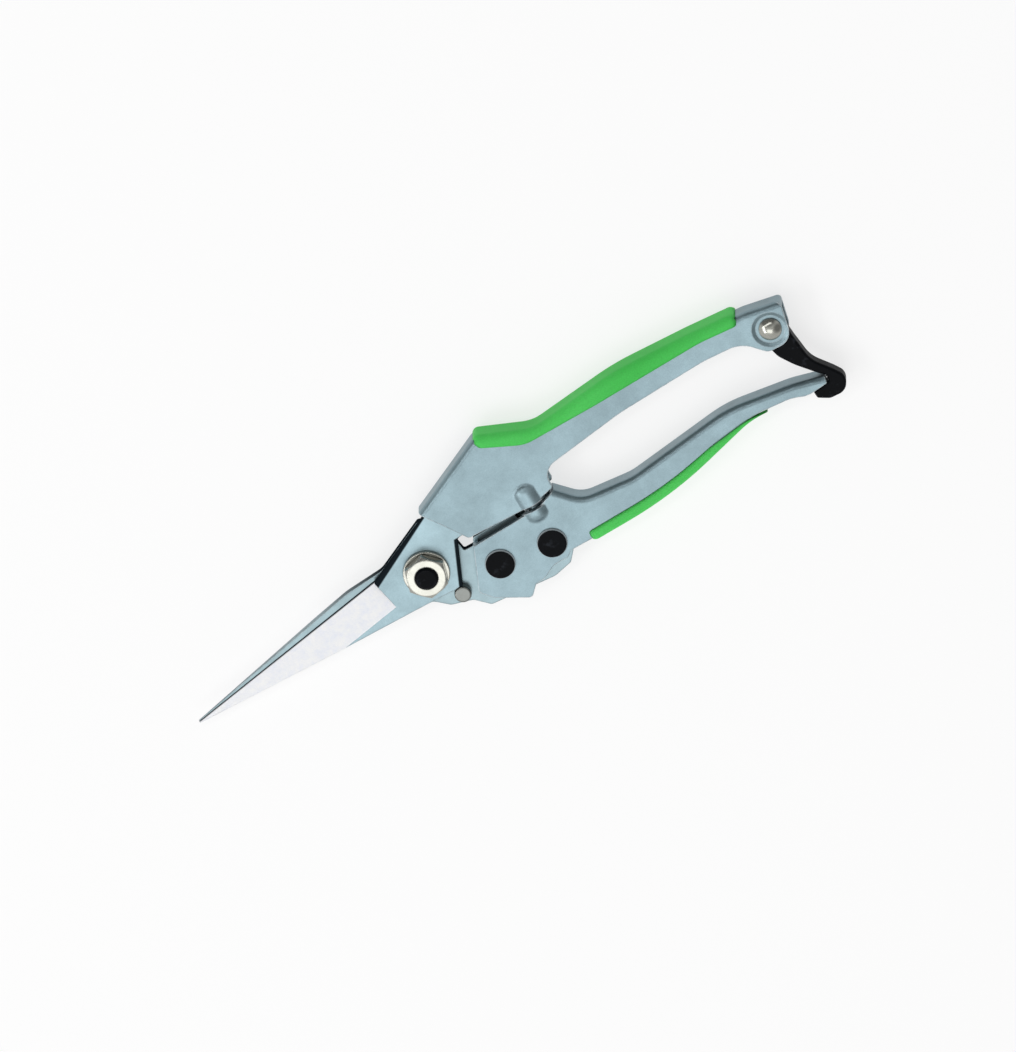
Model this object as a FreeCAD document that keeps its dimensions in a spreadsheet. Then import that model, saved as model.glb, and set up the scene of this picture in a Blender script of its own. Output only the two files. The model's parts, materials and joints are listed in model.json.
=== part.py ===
import FreeCAD, Part
import math
import os
from FreeCAD import Placement, Rotation, Vector
import Sketcher

# Floral snips, closed and latched, lying flat.
# Frame: X runs from the blade tips to the tail of the handles, Z is the thickness, and the
# origin is on the pivot axis at the underside of the bolt head, the plane the snips lie on.
# Sketches use the mid plane between the two blades as their own height 0.

DIMENSIONS = {
    # blades
    "blade_length": 70.9,      # pivot axis to tips, along X
    "blade_thick": 2.2,
    "blade_gap": 0.06,         # running gap between the two blades
    "edge_thick": 0.15,        # steel left at the cutting edges
    "grind_start": 13.0,       # pivot axis to the shoulder where the grind begins
    "tip_drop": 7.3,           # tips below the pivot axis, along Y
    # pivot
    "bolt_dia": 6.0,
    "bolt_clear": 0.05,
    "head_height": 2.5,
    "hex_across": 10.0,
    "nut_height": 3.0,
    "bolt_show": 0.8,          # bolt end beyond the nut
    "washer_dia": 12.0,
    "washer_thick": 1.0,
    "seat_gap": 0.02,          # between faces that bear on each other
    # handles
    "sheet_thick": 1.2,
    "tang_clear": 0.07,        # between each tang and the cheek beside it
    "bend_radius": 1.6,
    "throat_reach": 39.6,      # pivot axis to the front of the finger opening
    "catch_reach": 108.8,      # pivot axis to the catch rivet, along X
    "catch_height": 14.4,      # catch rivet above the pivot axis, along Y
    "grip_thick": 1.1,
    "grip_flange": 0.65,       # grip standing proud of each cheek
    "grip_round": 1.6,         # outer edges of the grips
    "grip_lip": 0.6,           # edges of the flanges that lie on the cheeks
    "grip_clear": 0.05,
    # rivets and pins
    "rivet_dia": 4.0,
    "rivet_head_dia": 7.8,
    "rivet_head_height": 0.9,
    "rivet_fit": 0.02,
    "tang_pin_dia": 3.0,
    "tang_pin_bite": 0.6,      # depth of the blind holes in the front cheek
    "stop_pin_dia": 4.4,
    "stop_shank_dia": 3.2,
    "stop_pin_height": 2.3,    # above the face of the rear blade
    "stop_clear": 0.1,
    # spring
    "spring_reach": 32.6,      # pivot axis to the spring axis
    "spring_dia": 6.0,
    "spring_clear": 0.3,
    "wire_dia": 0.8,
    "spring_turns": 6.0,
    "seat_thick": 1.4,
    "peg_clear": 0.4,          # between a seat's peg and the inside of the coil
    "peg_height": 2.0,
    "upper_seat_height": 8.6,  # outer face of the upper spring seat, along Y
    "lower_seat_depth": 1.3,   # outer face of the lower spring seat, below the pivot axis
    # catch
    "catch_thick": 4.1,
    "catch_round": 0.6,        # outer edges of the hook
    "catch_hub_dia": 8.4,
    "catch_clear": 0.3,
    "nose_radius": 20.5,       # catch rivet to the underside of the lower handle's nose
    "bush_wall": 0.7,
    "catch_rivet_dia": 3.6,
    "catch_head_dia": 5.9,
    "catch_head_height": 1.5,
    "dimple_dia": 9.5,         # recess about the catch rivet, at its mouth
    "dimple_depth": 0.45,
    "dimple_slope": 65.0,      # degrees that its wall leans outwards
}

doc = FreeCAD.newDocument("floral_snips")
sheet = doc.addObject("Spreadsheet::Sheet", "Sizes")
for row, (alias, value) in enumerate(DIMENSIONS.items(), start=1):
    sheet.set(f"A{row}", alias)
    sheet.set(f"B{row}", str(value))
    sheet.setAlias(f"B{row}", alias)
doc.recompute()


class Sizes:
    """Every driving dimension, read back from the sheet."""

    def __getattr__(self, alias):
        return float(sheet.get(alias))


S = Sizes()
# the channel between the two cheeks holds one tang on each side of the mid plane
CHANNEL_EXPR = "(2 * Sizes.blade_thick + Sizes.blade_gap + 2 * Sizes.tang_clear)"
HANDLE_EXPR = f"({CHANNEL_EXPR} + 2 * Sizes.sheet_thick)"
MID_EXPR = (
    "Sizes.head_height + Sizes.washer_thick + Sizes.blade_thick"
    " + Sizes.blade_gap / 2 + 2 * Sizes.seat_gap"
)
FRONT_FACE = S.blade_gap / 2 + S.blade_thick     # outer face of the front blade
CHEEK_INNER = S.blade_gap / 2 + S.blade_thick + S.tang_clear
CHEEK_OUTER = CHEEK_INNER + S.sheet_thick
TAIL_REACH = S.catch_reach + 5.9
TAIL_CORNER = 1.6                                 # rounding of the tail's corner
NOSE_REACH = S.catch_reach + 5.3
FAR = 30.0                                        # well clear of any handle outline
PIVOT = (0.0, 0.0)
CATCH = (S.catch_reach, S.catch_height)
STOP_PIN = (5.0, -9.9)
LOWER_RIVETS = [(17.7, -6.8), (32.0, -8.4)]
TANG_PINS = [(17.0, 11.2), (24.2, 17.4)]


def handle_x(share):
    """X of a place along the grips: 0 at the throat, 1 at the catch rivet."""
    return S.throat_reach + share * (S.catch_reach - S.throat_reach)


# ---------------------------------------------------------------- outlines


def rounded_curves(corners, closed=True):
    """Lines and tangent arcs through corners given as (x, y, radius)."""
    points = [Vector(c[0], c[1], 0) for c in corners]
    radii = [c[2] if len(c) > 2 else 0.0 for c in corners]
    count = len(points)
    arcs = []
    for i, point in enumerate(points):
        is_end = not closed and i in (0, count - 1)
        if radii[i] == 0 or is_end:
            arcs.append((point, point, None))
            continue
        back = (points[i - 1] - point).normalize()
        ahead = (points[(i + 1) % count] - point).normalize()
        half = back.getAngle(ahead) / 2
        reach = radii[i] / math.tan(half)
        middle = (back + ahead).normalize()
        centre = point + middle * (radii[i] / math.sin(half))
        arcs.append((point + back * reach, point + ahead * reach, centre - middle * radii[i]))
    curves = []
    for i in range(count if closed else count - 1):
        start, end, through = arcs[i]
        if through is not None:
            curves.append(Part.Arc(start, through, end))
        following = arcs[(i + 1) % count][0]
        if end.distanceToPoint(following) > 1e-6:
            curves.append(Part.LineSegment(end, following))
    return curves


def inset_chain(corners, distance):
    """An open chain of corners moved to its left by distance, with its radii to match."""
    lines = []
    for (x0, y0, *_), (x1, y1, *_) in zip(corners, corners[1:]):
        length = math.hypot(x1 - x0, y1 - y0)
        ux, uy = (x1 - x0) / length, (y1 - y0) / length
        lines.append((x0 - uy * distance, y0 + ux * distance, ux, uy))
    moved = [lines[0][:2] + (0.0,)]
    for (px, py, ux, uy), (qx, qy, vx, vy), corner in zip(lines, lines[1:], corners[1:]):
        turn = ux * vy - uy * vx
        along = ((qx - px) * vy - (qy - py) * vx) / turn
        radius = corner[2] - math.copysign(distance, turn)
        moved.append((px + ux * along, py + uy * along, max(radius, 0.3)))
    px, py, ux, uy = lines[-1]
    length = math.hypot(corners[-1][0] - corners[-2][0], corners[-1][1] - corners[-2][1])
    moved.append((px + ux * length, py + uy * length, 0.0))
    return moved


def along_arc(centre, radius, x, below=True):
    """Y on a circle about centre at the given x."""
    rise = math.sqrt(radius**2 - (x - centre[0]) ** 2)
    return centre[1] - rise if below else centre[1] + rise


def line_x(one, other, y):
    """X at y on the straight line through two corners."""
    slope = (other[0] - one[0]) / (other[1] - one[1])
    return one[0] + slope * (y - one[1])


def line_y(one, other, x):
    """Y at x on the straight line through two corners."""
    slope = (other[1] - one[1]) / (other[0] - one[0])
    return one[1] + slope * (x - one[0])


# The upper handle, counter-clockwise. Its outer chain runs from the tail corner to the front.
UPPER_INNER = [
    (14.3, 3.2, 1.0),
    (33.0, 3.0, 6.0),
    (S.throat_reach + 0.1, 4.7, 0.8),
    (S.throat_reach - 0.3, 9.8, 4.6),
    (handle_x(0.36), 13.7, 50.0),
    (handle_x(0.72), 15.3, 30.0),
    (S.catch_reach - 8.4, S.catch_height + 0.4, 8.0),
    (S.catch_reach - 3.4, S.catch_height - 5.2, 3.0),
    (S.catch_reach + 3.4, S.catch_height - 5.2, 4.0),
]
TAIL_TOP = S.catch_height + 5.3
UPPER_OUTER = [
    (TAIL_REACH, TAIL_TOP),
    (S.catch_reach - 4.0, S.catch_height + 7.1, 10.0),
    (handle_x(0.72), 22.4, 60.0),
    (handle_x(0.42), 23.0, 70.0),
    (43.0, 19.8, 9.0),
    (28.4, 25.9, 1.8),
    (6.4, 15.1),
]
UPPER_FRONT = [(10.2, 9.6, 15.0)]
# The lower handle. Its closed side faces the finger opening, from the nose to the throat.
NOSE_UNDER = along_arc(CATCH, S.nose_radius, NOSE_REACH)
LOWER_OUTER = [
    (9.1, -11.0, 1.2),
    (11.8, -14.2, 2.0),
    (20.2, -18.9, 1.2),
    (22.9, -16.1, 1.0),
    (25.4, -16.0, 1.5),
    (29.4, -13.9, 3.0),
    (33.5, -13.9, 1.2),
    (35.2, -12.6, 1.5),
    (41.2, -12.5, 6.0),
    (handle_x(0.36), -11.6, 110.0),
    (handle_x(0.76), -3.7, 22.0),
    (S.catch_reach - 4.8, -4.5, 12.0),
    (S.catch_reach - 0.6, along_arc(CATCH, S.nose_radius, S.catch_reach - 0.6), 6.0),
    (NOSE_REACH, NOSE_UNDER, 0.5),
]
LOWER_INNER = [
    (NOSE_REACH, NOSE_UNDER + 1.7),
    (S.catch_reach - 3.0, -1.5, 20.0),
    (handle_x(0.70), 0.9, 35.0),
    (handle_x(0.27), -3.3, 16.0),
    (S.throat_reach + 5.0, -2.1, 7.0),
    (S.throat_reach - 0.4, 3.7),
]
LOWER_GAP = [(33.8, 1.6, 4.0), (14.1, 0.6, 0.8)]


# ---------------------------------------------------------------- PartDesign helpers


def make_body(label):
    body = doc.addObject("PartDesign::Body", "body_" + label)
    body.Label = label
    body.setExpression(".Placement.Base.z", MID_EXPR)
    return body


def origin_plane(body, role):
    return next(f for f in body.Origin.OriginFeatures if f.Role == role)


def make_sketch(body, curves, offset=None, role="XY_Plane"):
    sketch = body.newObject("Sketcher::SketchObject", "sketch")
    sketch.AttachmentSupport = [(origin_plane(body, role), "")]
    sketch.MapMode = "FlatFace"
    if offset is not None:
        sketch.AttachmentOffset = offset
    sketch.addGeometry(curves)
    return sketch


def circle_sketch(body, places, radius_expr, at_height=None, cells=None):
    """Circles of one bound radius. cells names the sheet cells of a single circle's centre."""
    offset = None
    if at_height is not None:
        offset = Placement(Vector(0, 0, 0), Rotation())
    sketch = make_sketch(body, [], offset)
    if at_height is not None:
        sketch.setExpression(".AttachmentOffset.Base.z", at_height)
    for i, (x, y) in enumerate(places):
        sketch.addGeometry(Part.Circle(Vector(x, y, 0), Vector(0, 0, 1), 1.0))
        sketch.addConstraint(Sketcher.Constraint("Radius", i, 1.0))
        sketch.setExpression(f"Constraints[{sketch.ConstraintCount - 1}]", radius_expr)
        for kind, value, axis in (("DistanceX", x, 0), ("DistanceY", y, 1)):
            sketch.addConstraint(Sketcher.Constraint(kind, -1, 1, i, 3, value))
            if cells:
                name = f"Constraints[{sketch.ConstraintCount - 1}]"
                sketch.setExpression(name, f"Sizes.{cells[axis]}")
    return sketch


def pad(body, sketch, length_expr, symmetric=False, reverse=False):
    feature = body.newObject("PartDesign::Pad", "pad")
    feature.Profile = sketch
    feature.SideType = "Symmetric" if symmetric else "One side"
    feature.Reversed = reverse
    feature.setExpression("Length", length_expr)
    body.Tip = feature
    return feature


def pocket(body, sketch, length_expr=None, upwards=False, symmetric=False):
    """Cuts downwards from the sketch, or upwards; through all when no length is given."""
    feature = body.newObject("PartDesign::Pocket", "pocket")
    feature.Profile = sketch
    feature.SideType = "Symmetric" if symmetric else "One side"
    feature.Reversed = upwards
    if length_expr is None:
        feature.Type = "ThroughAll"
    else:
        feature.setExpression("Length", length_expr)
    body.Tip = feature
    return feature


def turned(body, kind, curves):
    """A Revolution or Groove of a flat profile about its own first edge."""
    sketch = make_sketch(body, curves)
    feature = body.newObject(f"PartDesign::{kind}", kind.lower())
    feature.Profile = sketch
    feature.ReferenceAxis = (sketch, ["Edge1"])
    feature.Angle = 360
    body.Tip = feature


def edges_near(shape, curves, height):
    """Names of the edges of shape at one height that lie over the given flat curves."""
    outline = Part.Compound([c.toShape() for c in curves])
    names = []
    for i, edge in enumerate(shape.Edges, start=1):
        middle = edge.valueAt((edge.FirstParameter + edge.LastParameter) / 2)
        if abs(abs(middle.z) - height) > 1e-3 or abs(edge.BoundBox.ZLength) > 1e-3:
            continue
        foot = Part.Vertex(middle.x, middle.y, 0)
        if outline.distToShape(foot)[0] < 1e-3:
            names.append(f"Edge{i}")
    return names


def add_fillet(body, edges, radius_expr):
    base = body.Tip
    feature = body.newObject("PartDesign::Fillet", "fillet")
    feature.Base = (base, edges)
    feature.setExpression("Radius", radius_expr)
    body.Tip = feature


def round_edges(body, curves, height, radius_expr):
    doc.recompute()
    local = body.Tip.Shape.copy()
    local.Placement = Placement()
    add_fillet(body, edges_near(local, curves, height), radius_expr)


def group(label, parts):
    """Several separate solids that share one node."""
    if len(parts) == 1:
        parts[0].Label = label
        return parts[0]
    result = doc.addObject("Part::Compound", "group_" + label)
    result.Links = parts
    result.Label = label
    return result


# ---------------------------------------------------------------- handles

# the two swellings over the ends of the spring: where each opens, and how round its end is
UPPER_MOUTH = 3.1
LOWER_MOUTH = 1.75
BULGE_ROUND = 3.0
BULGE_EXPR = "(Sizes.spring_dia / 2 + Sizes.spring_clear + Sizes.sheet_thick)"


def bulge(body, seat_y, mouth_y):
    """The round swelling pressed outwards in both cheeks over one end of the spring."""
    radius = S.spring_dia / 2 + S.spring_clear + S.sheet_thick
    end = seat_y + math.copysign(S.sheet_thick, seat_y - mouth_y)
    x = S.spring_reach
    profile = [(x, mouth_y), (x, end), (x + radius, end, BULGE_ROUND), (x + radius, mouth_y)]
    turned(body, "Revolution", rounded_curves(profile))
    # its foot runs smoothly into the flat of each cheek, with a radius equal to its height
    doc.recompute()
    local = body.Tip.Shape.copy()
    local.Placement = Placement()
    half_width = math.sqrt(radius**2 - CHEEK_OUTER**2) + 0.01
    foot = []
    for i, edge in enumerate(local.Edges, start=1):
        middle = edge.valueAt((edge.FirstParameter + edge.LastParameter) / 2)
        inside = abs(middle.x - x) < half_width and (middle.y - mouth_y) * (middle.y - end) < 0
        if inside and abs(abs(middle.z) - CHEEK_OUTER) < 1e-3:
            foot.append(f"Edge{i}")
    add_fillet(body, foot, f"{BULGE_EXPR} - {HANDLE_EXPR} / 2")


def spring_bore(body, end_y, mouth_y):
    """The round hollow inside a bulge, from outside the gap edge to the seat's ledge."""
    radius = S.spring_dia / 2 + S.spring_clear
    beyond = mouth_y + math.copysign(FAR / 3, mouth_y - end_y)
    x = S.spring_reach
    profile = [(x, beyond), (x, end_y), (x + radius, end_y), (x + radius, beyond)]
    turned(body, "Groove", rounded_curves(profile))


def dimple(body, sign):
    """The shallow round recess about the catch rivet, on the front or the rear cheek."""
    height = f"{'' if sign > 0 else '-'}{HANDLE_EXPR} / 2"
    sketch = circle_sketch(
        body, [CATCH], "Sizes.dimple_dia / 2", height, ("catch_reach", "catch_height")
    )
    recess = pocket(body, sketch, "Sizes.dimple_depth", upwards=sign < 0)
    recess.setExpression("TaperAngle", "-Sizes.dimple_slope")


def round_corner(body, before, corner, after, radius):
    """Rounds one upright corner of a finished body, where two sides of its outline meet."""
    point = Vector(corner[0], corner[1], 0)
    back = (Vector(before[0], before[1], 0) - point).normalize()
    ahead = (Vector(after[0], after[1], 0) - point).normalize()
    reach = radius / math.tan(back.getAngle(ahead) / 2)
    middle = (back + ahead).normalize()
    centre = point + middle * (radius / math.sin(back.getAngle(ahead) / 2))
    start, end = point + back * reach, point + ahead * reach
    outside = point - middle * FAR
    cut = [
        Part.Arc(start, centre - middle * radius, end),
        Part.LineSegment(end, outside + ahead * reach),
        Part.LineSegment(outside + ahead * reach, outside + back * reach),
        Part.LineSegment(outside + back * reach, start),
    ]
    pocket(body, make_sketch(body, cut), f"3 * {HANDLE_EXPR}", symmetric=True)


def upper_handle():
    body = make_body("upper_handle")
    outline = rounded_curves(UPPER_INNER + UPPER_OUTER + UPPER_FRONT)
    pad(body, make_sketch(body, outline), HANDLE_EXPR, symmetric=True)
    bends = rounded_curves(UPPER_OUTER, closed=False)
    round_edges(body, bends, CHEEK_OUTER, "Sizes.bend_radius")
    bulge(body, S.upper_seat_height, UPPER_MOUTH)
    web = inset_chain(UPPER_OUTER, S.sheet_thick)
    hollow = [
        (TAIL_REACH + FAR, TAIL_TOP - 1.6),
        (TAIL_REACH - S.sheet_thick, TAIL_TOP - 1.6, 0.3),
        (TAIL_REACH - S.sheet_thick, line_y(web[0], web[1], TAIL_REACH - S.sheet_thick), 0.5),
        *web[1:-1],
        (0.0, line_y(web[-2], web[-1], 0.0)),
        (0.0, -FAR),
        (TAIL_REACH + FAR, -FAR),
    ]
    hollow_sketch = make_sketch(body, rounded_curves(hollow))
    pocket(body, hollow_sketch, CHANNEL_EXPR, symmetric=True)
    spring_bore(body, S.upper_seat_height, UPPER_MOUTH)
    dimple(body, 1)
    dimple(body, -1)
    round_corner(body, UPPER_INNER[-1], UPPER_OUTER[0], UPPER_OUTER[1], TAIL_CORNER)
    hole = circle_sketch(
        body,
        [CATCH],
        "Sizes.catch_rivet_dia / 2 + Sizes.rivet_fit",
        cells=("catch_reach", "catch_height"),
    )
    pocket(body, hole, f"3 * {HANDLE_EXPR}", symmetric=True)
    # the tang pins come through the rear cheek and end in blind holes in the front cheek
    pins = circle_sketch(
        body,
        TANG_PINS,
        "Sizes.tang_pin_dia / 2 + Sizes.rivet_fit",
        f"{CHANNEL_EXPR} / 2 + Sizes.tang_pin_bite",
    )
    pocket(body, pins, f"2 * {HANDLE_EXPR}")
    return body


def lower_handle():
    body = make_body("lower_handle")
    outline = rounded_curves(LOWER_OUTER + LOWER_INNER + LOWER_GAP)
    pad(body, make_sketch(body, outline), HANDLE_EXPR, symmetric=True)
    bends = rounded_curves(LOWER_INNER, closed=False)
    round_edges(body, bends, CHEEK_OUTER, "Sizes.bend_radius")
    bulge(body, -S.lower_seat_depth, LOWER_MOUTH)
    # open along the outer side and at the gap; the pressed-together nose stays solid, and a
    # front wall is folded across the half of the channel that the rear blade leaves free
    web = inset_chain(LOWER_INNER, S.sheet_thick)
    solid_from = S.catch_reach - 6.4
    channel = [
        (solid_from, -FAR),
        (solid_from, line_y(web[1], web[2], solid_from), 0.4),
        *web[2:-1],
        (line_x(web[-2], web[-1], FAR), FAR),
    ]
    wall = S.sheet_thick + 0.1
    wall_low = (LOWER_OUTER[0][0] + wall, LOWER_OUTER[0][1])
    wall_high = (LOWER_GAP[-1][0] + wall, LOWER_GAP[-1][1])
    behind_wall = [(line_x(wall_low, wall_high, y), y) for y in (FAR, -FAR)]
    for front, upwards in (([(0.0, FAR), (0.0, -FAR)], False), (behind_wall, True)):
        sketch = make_sketch(body, rounded_curves(channel + front))
        pocket(body, sketch, f"{CHANNEL_EXPR} / 2", upwards=upwards)
    spring_bore(body, -S.lower_seat_depth, LOWER_MOUTH)
    holes = circle_sketch(body, LOWER_RIVETS, "Sizes.rivet_dia / 2 + Sizes.rivet_fit")
    pocket(body, holes, f"3 * {HANDLE_EXPR}", symmetric=True)
    return body


# ---------------------------------------------------------------- grips


def grip(label, envelope, sunk, inner):
    """A moulded cover over the outer side of a handle: U-shaped, with well rounded outer edges.

    envelope is the chain of corners outside, sunk the metal under it, inner the flange edge.
    The first and last corners of inner are sharp, so that each rounding ends there."""
    body = make_body(label)
    outline = rounded_curves(envelope + inner)
    pad(body, make_sketch(body, outline), f"{HANDLE_EXPR} + 2 * Sizes.grip_flange", symmetric=True)
    flange = CHEEK_OUTER + S.grip_flange
    outer = rounded_curves([inner[-1], *envelope, inner[0]], closed=False)
    round_edges(body, outer, flange, "Sizes.grip_round")
    round_edges(body, rounded_curves(inner, closed=False), flange, "Sizes.grip_lip")
    inside = make_sketch(body, rounded_curves(sunk))
    pocket(body, inside, f"{HANDLE_EXPR} + 2 * Sizes.grip_clear", symmetric=True)
    return body


def upper_grip():
    end = S.catch_reach - 4.6
    metal = UPPER_OUTER[1:-1]
    covered = [(end, line_y(*metal[:2], end)), *metal[1:], UPPER_OUTER[-1]]
    outside = inset_chain(covered, -S.grip_thick)
    lead = outside[-2][0] - 1.9
    envelope = [
        (end, outside[0][1], 1.75),
        *outside[1:-2],
        (lead, line_y(*outside[-3:-1], lead), 1.7),
    ]
    inner = [
        (28.4, 23.4),
        (39.4, 18.2, 10.0),
        (handle_x(0.30), 18.7, 50.0),
        (handle_x(0.75), 20.2, 40.0),
        (end - 2.0, 19.5),
    ]
    cover = inset_chain(UPPER_OUTER, -S.grip_clear)
    sunk = [*cover, (0.0, -FAR), (TAIL_REACH, -FAR)]
    return grip("upper_grip", envelope, sunk, inner)


def lower_grip():
    metal = LOWER_OUTER[8:12]
    end = handle_x(0.86)
    outside = inset_chain([(40.6, line_y(*metal[:2], 40.6)), *metal[1:]], -S.grip_thick)
    envelope = [
        (40.6, outside[0][1], 1.75),
        *outside[1:-1],
        (end, line_y(*metal[2:4], end) - 0.9, 1.7),
    ]
    inner = [
        (end - 0.4, line_y(*metal[2:4], end) + 1.9),
        (handle_x(0.76), -2.7, 20.0),
        (handle_x(0.36), -9.4, 110.0),
        (41.2, -10.4),
    ]
    cover = inset_chain(LOWER_OUTER[7:12], -S.grip_clear)
    sunk = [*cover, (TAIL_REACH, FAR), (0.0, FAR)]
    body = grip("lower_grip", envelope, sunk, inner)
    # its tail runs out to a point along the edge of the handle
    lead = handle_x(0.55)
    taper = [
        (lead, line_y(inner[2], inner[1], lead) + 0.1),
        (handle_x(0.76), outside[2][1] + 0.9, 18.0),
        (end + 0.6, outside[-1][1]),
        (end + 0.6, -FAR),
        (TAIL_REACH, -FAR),
        (TAIL_REACH, FAR),
        (lead, FAR),
    ]
    pocket(body, make_sketch(body, rounded_curves(taper)), f"3 * {HANDLE_EXPR}", symmetric=True)
    return body


# ---------------------------------------------------------------- blades

TIP = (-S.blade_length, -S.tip_drop)
EDGE_ROOT = (-S.grind_start, 3.9)            # front cutting edge where the grind begins
REAR_EDGE_ROOT = (-S.grind_start, -5.7)
SPINE_LOW = -7.6                             # spine of the front blade, below the pivot axis
ROOT_SLOPE = (UPPER_OUTER[-2][1] - UPPER_OUTER[-1][1]) / (UPPER_OUTER[-2][0] - UPPER_OUTER[-1][0])


def root_edge(x):
    """Y on the long slanting edge that both blade roots share, inside the upper handle's web."""
    return UPPER_OUTER[-1][1] - 1.75 + ROOT_SLOPE * (x - UPPER_OUTER[-1][0])


def grind(body, edge_root, width, outwards):
    """Cuts the ground bevel: a flat from the cutting edge up to the blade's outer face."""
    run = math.atan2(TIP[1] - edge_root[1], TIP[0] - edge_root[0])
    side = 1.0 if outwards else -1.0
    rise = (S.blade_thick - S.edge_thick) / width
    low = FRONT_FACE - S.blade_thick + S.edge_thick
    over = 4.0
    across = 1.0 if edge_root[1] > 0 else -1.0
    # sketch X runs across the blade, away from the spine; sketch Y is the thickness
    profile = [
        (across * over, side * (low - rise * over)),
        (across * over, side * (FRONT_FACE + over)),
        (-across * (width + over), side * (FRONT_FACE + over)),
        (-across * (width + over), side * (low + rise * (width + over))),
    ]
    curves = rounded_curves(profile)
    sketch = make_sketch(body, curves, role="YZ_Plane")
    turn = run - math.pi
    sketch.AttachmentOffset = Placement(
        Vector(edge_root[1], 0, edge_root[0]), Rotation(Vector(0, 1, 0), math.degrees(turn))
    )
    pocket(body, sketch, "2 * Sizes.blade_length")


def pivot_hole(body):
    hole = circle_sketch(body, [PIVOT], "Sizes.bolt_dia / 2 + Sizes.bolt_clear")
    pocket(body, hole, "8 * Sizes.blade_thick", symmetric=True)


def blade(label, corners, front):
    body = make_body(label)
    sketch = make_sketch(body, rounded_curves(corners))
    sign = "" if front else "-"
    sketch.setExpression(".AttachmentOffset.Base.z", f"{sign}Sizes.blade_gap / 2")
    pad(body, sketch, "Sizes.blade_thick", reverse=not front)
    pivot_hole(body)
    return body


def front_blade():
    shoulder = 27.4
    corners = [
        (TIP[0], TIP[1] - 0.35),
        (-8.0, SPINE_LOW, 12.0),
        (2.6, SPINE_LOW - 0.1, 0.6),
        (6.0, SPINE_LOW - 0.4, 0.4),
        (11.5, 4.3, 1.5),
        (shoulder, 4.5, 2.0),
        (shoulder, root_edge(shoulder) - 0.2, 2.5),
        (-11.0, root_edge(-11.0), 3.0),
        EDGE_ROOT,
        (TIP[0], TIP[1] + 0.1),
    ]
    body = blade("front_blade", corners, front=True)
    notch = circle_sketch(body, [STOP_PIN], "Sizes.stop_pin_dia / 2 + Sizes.stop_clear")
    pocket(body, notch, "4 * Sizes.blade_thick", symmetric=True)
    pins = circle_sketch(body, TANG_PINS, "Sizes.tang_pin_dia / 2 + Sizes.rivet_fit")
    pocket(body, pins, "4 * Sizes.blade_thick", symmetric=True)
    grind(body, EDGE_ROOT, 8.4, outwards=True)
    return body


def rear_blade():
    corners = [
        (TIP[0], TIP[1] - 0.1),
        REAR_EDGE_ROOT,
        (-10.0, -7.0, 2.0),
        (-3.0, -8.4, 4.0),
        (0.6, -11.6, 2.0),
        (6.2, -13.2, 2.0),
        (9.6, -16.6, 1.2),
        (27.5, -17.9, 5.0),
        (32.8, -16.6, 1.5),
        (37.6, -11.0, 2.0),
        (37.6, -3.4, 1.5),
        (28.0, -2.9, 0.8),
        (26.6, 2.2, 0.8),
        (14.6, 1.7, 0.5),
        (13.5, -0.3, 0.5),
        (10.9, -0.3, 0.5),
        (10.4, 3.4, 1.0),
        (8.6, 9.8, 2.0),
        (4.6, root_edge(4.6), 1.2),
        (-10.0, root_edge(-10.0), 6.0),
        (-21.0, 4.3, 20.0),
        (TIP[0], TIP[1] + 0.35),
    ]
    body = blade("rear_blade", corners, front=False)
    holes = circle_sketch(body, LOWER_RIVETS, "Sizes.rivet_dia / 2 + Sizes.rivet_fit")
    pocket(body, holes, "4 * Sizes.blade_thick", symmetric=True)
    pin = circle_sketch(body, [STOP_PIN], "Sizes.stop_shank_dia / 2")
    pocket(body, pin, "4 * Sizes.blade_thick", symmetric=True)
    grind(body, REAR_EDGE_ROOT, 8.0, outwards=False)
    return body


# ---------------------------------------------------------------- pivot hardware

NUT_WASHER_BASE = f"{MID_EXPR} + Sizes.blade_gap / 2 + Sizes.blade_thick + Sizes.seat_gap"
NUT_BASE = f"{NUT_WASHER_BASE} + Sizes.washer_thick + Sizes.seat_gap"
BOLT_LENGTH = f"{NUT_BASE} + Sizes.nut_height + Sizes.bolt_show"
BOLT_CHAMFER = 0.6
HEX_TURN = 14.0
HEX_FACE = 0.97          # flat face of a turned-off rim, as a share of the width across flats
HEX_CORNER = 1.17        # a little more than the corners, as a share of the same width


def hexagon(label, height_cell, base_expr):
    """A hexagon on the pivot axis with both rims turned off at 30 degrees."""
    prism = doc.addObject("Part::Prism", label + "_prism")
    prism.Polygon = 6
    prism.setExpression("Circumradius", "Sizes.hex_across / 2 / cos(30)")
    prism.setExpression("Height", f"Sizes.{height_cell}")
    prism.Placement = Placement(Vector(0, 0, 0), Rotation(Vector(0, 0, 1), HEX_TURN))
    prism.setExpression(".Placement.Base.z", base_expr)
    height = getattr(S, height_cell)
    flat = S.hex_across / 2 * HEX_FACE
    corner = S.hex_across / 2 * HEX_CORNER
    rise = (corner - flat) * math.tan(math.radians(30))
    rims = [
        (0, 0),
        (flat, 0),
        (corner, rise),
        (corner, height - rise),
        (flat, height),
        (0, height),
    ]
    result = doc.addObject("Part::Common", label)
    result.Base = prism
    result.Tool = turned_body(label + "_rims", rims, PIVOT, base_expr)
    return result


def turn_sketch(body, sketch):
    """Revolves a profile about its own upright axis."""
    feature = body.newObject("PartDesign::Revolution", "turning")
    feature.Profile = sketch
    feature.ReferenceAxis = (sketch, ["V_Axis"])
    feature.Angle = 360
    body.Tip = feature


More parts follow.
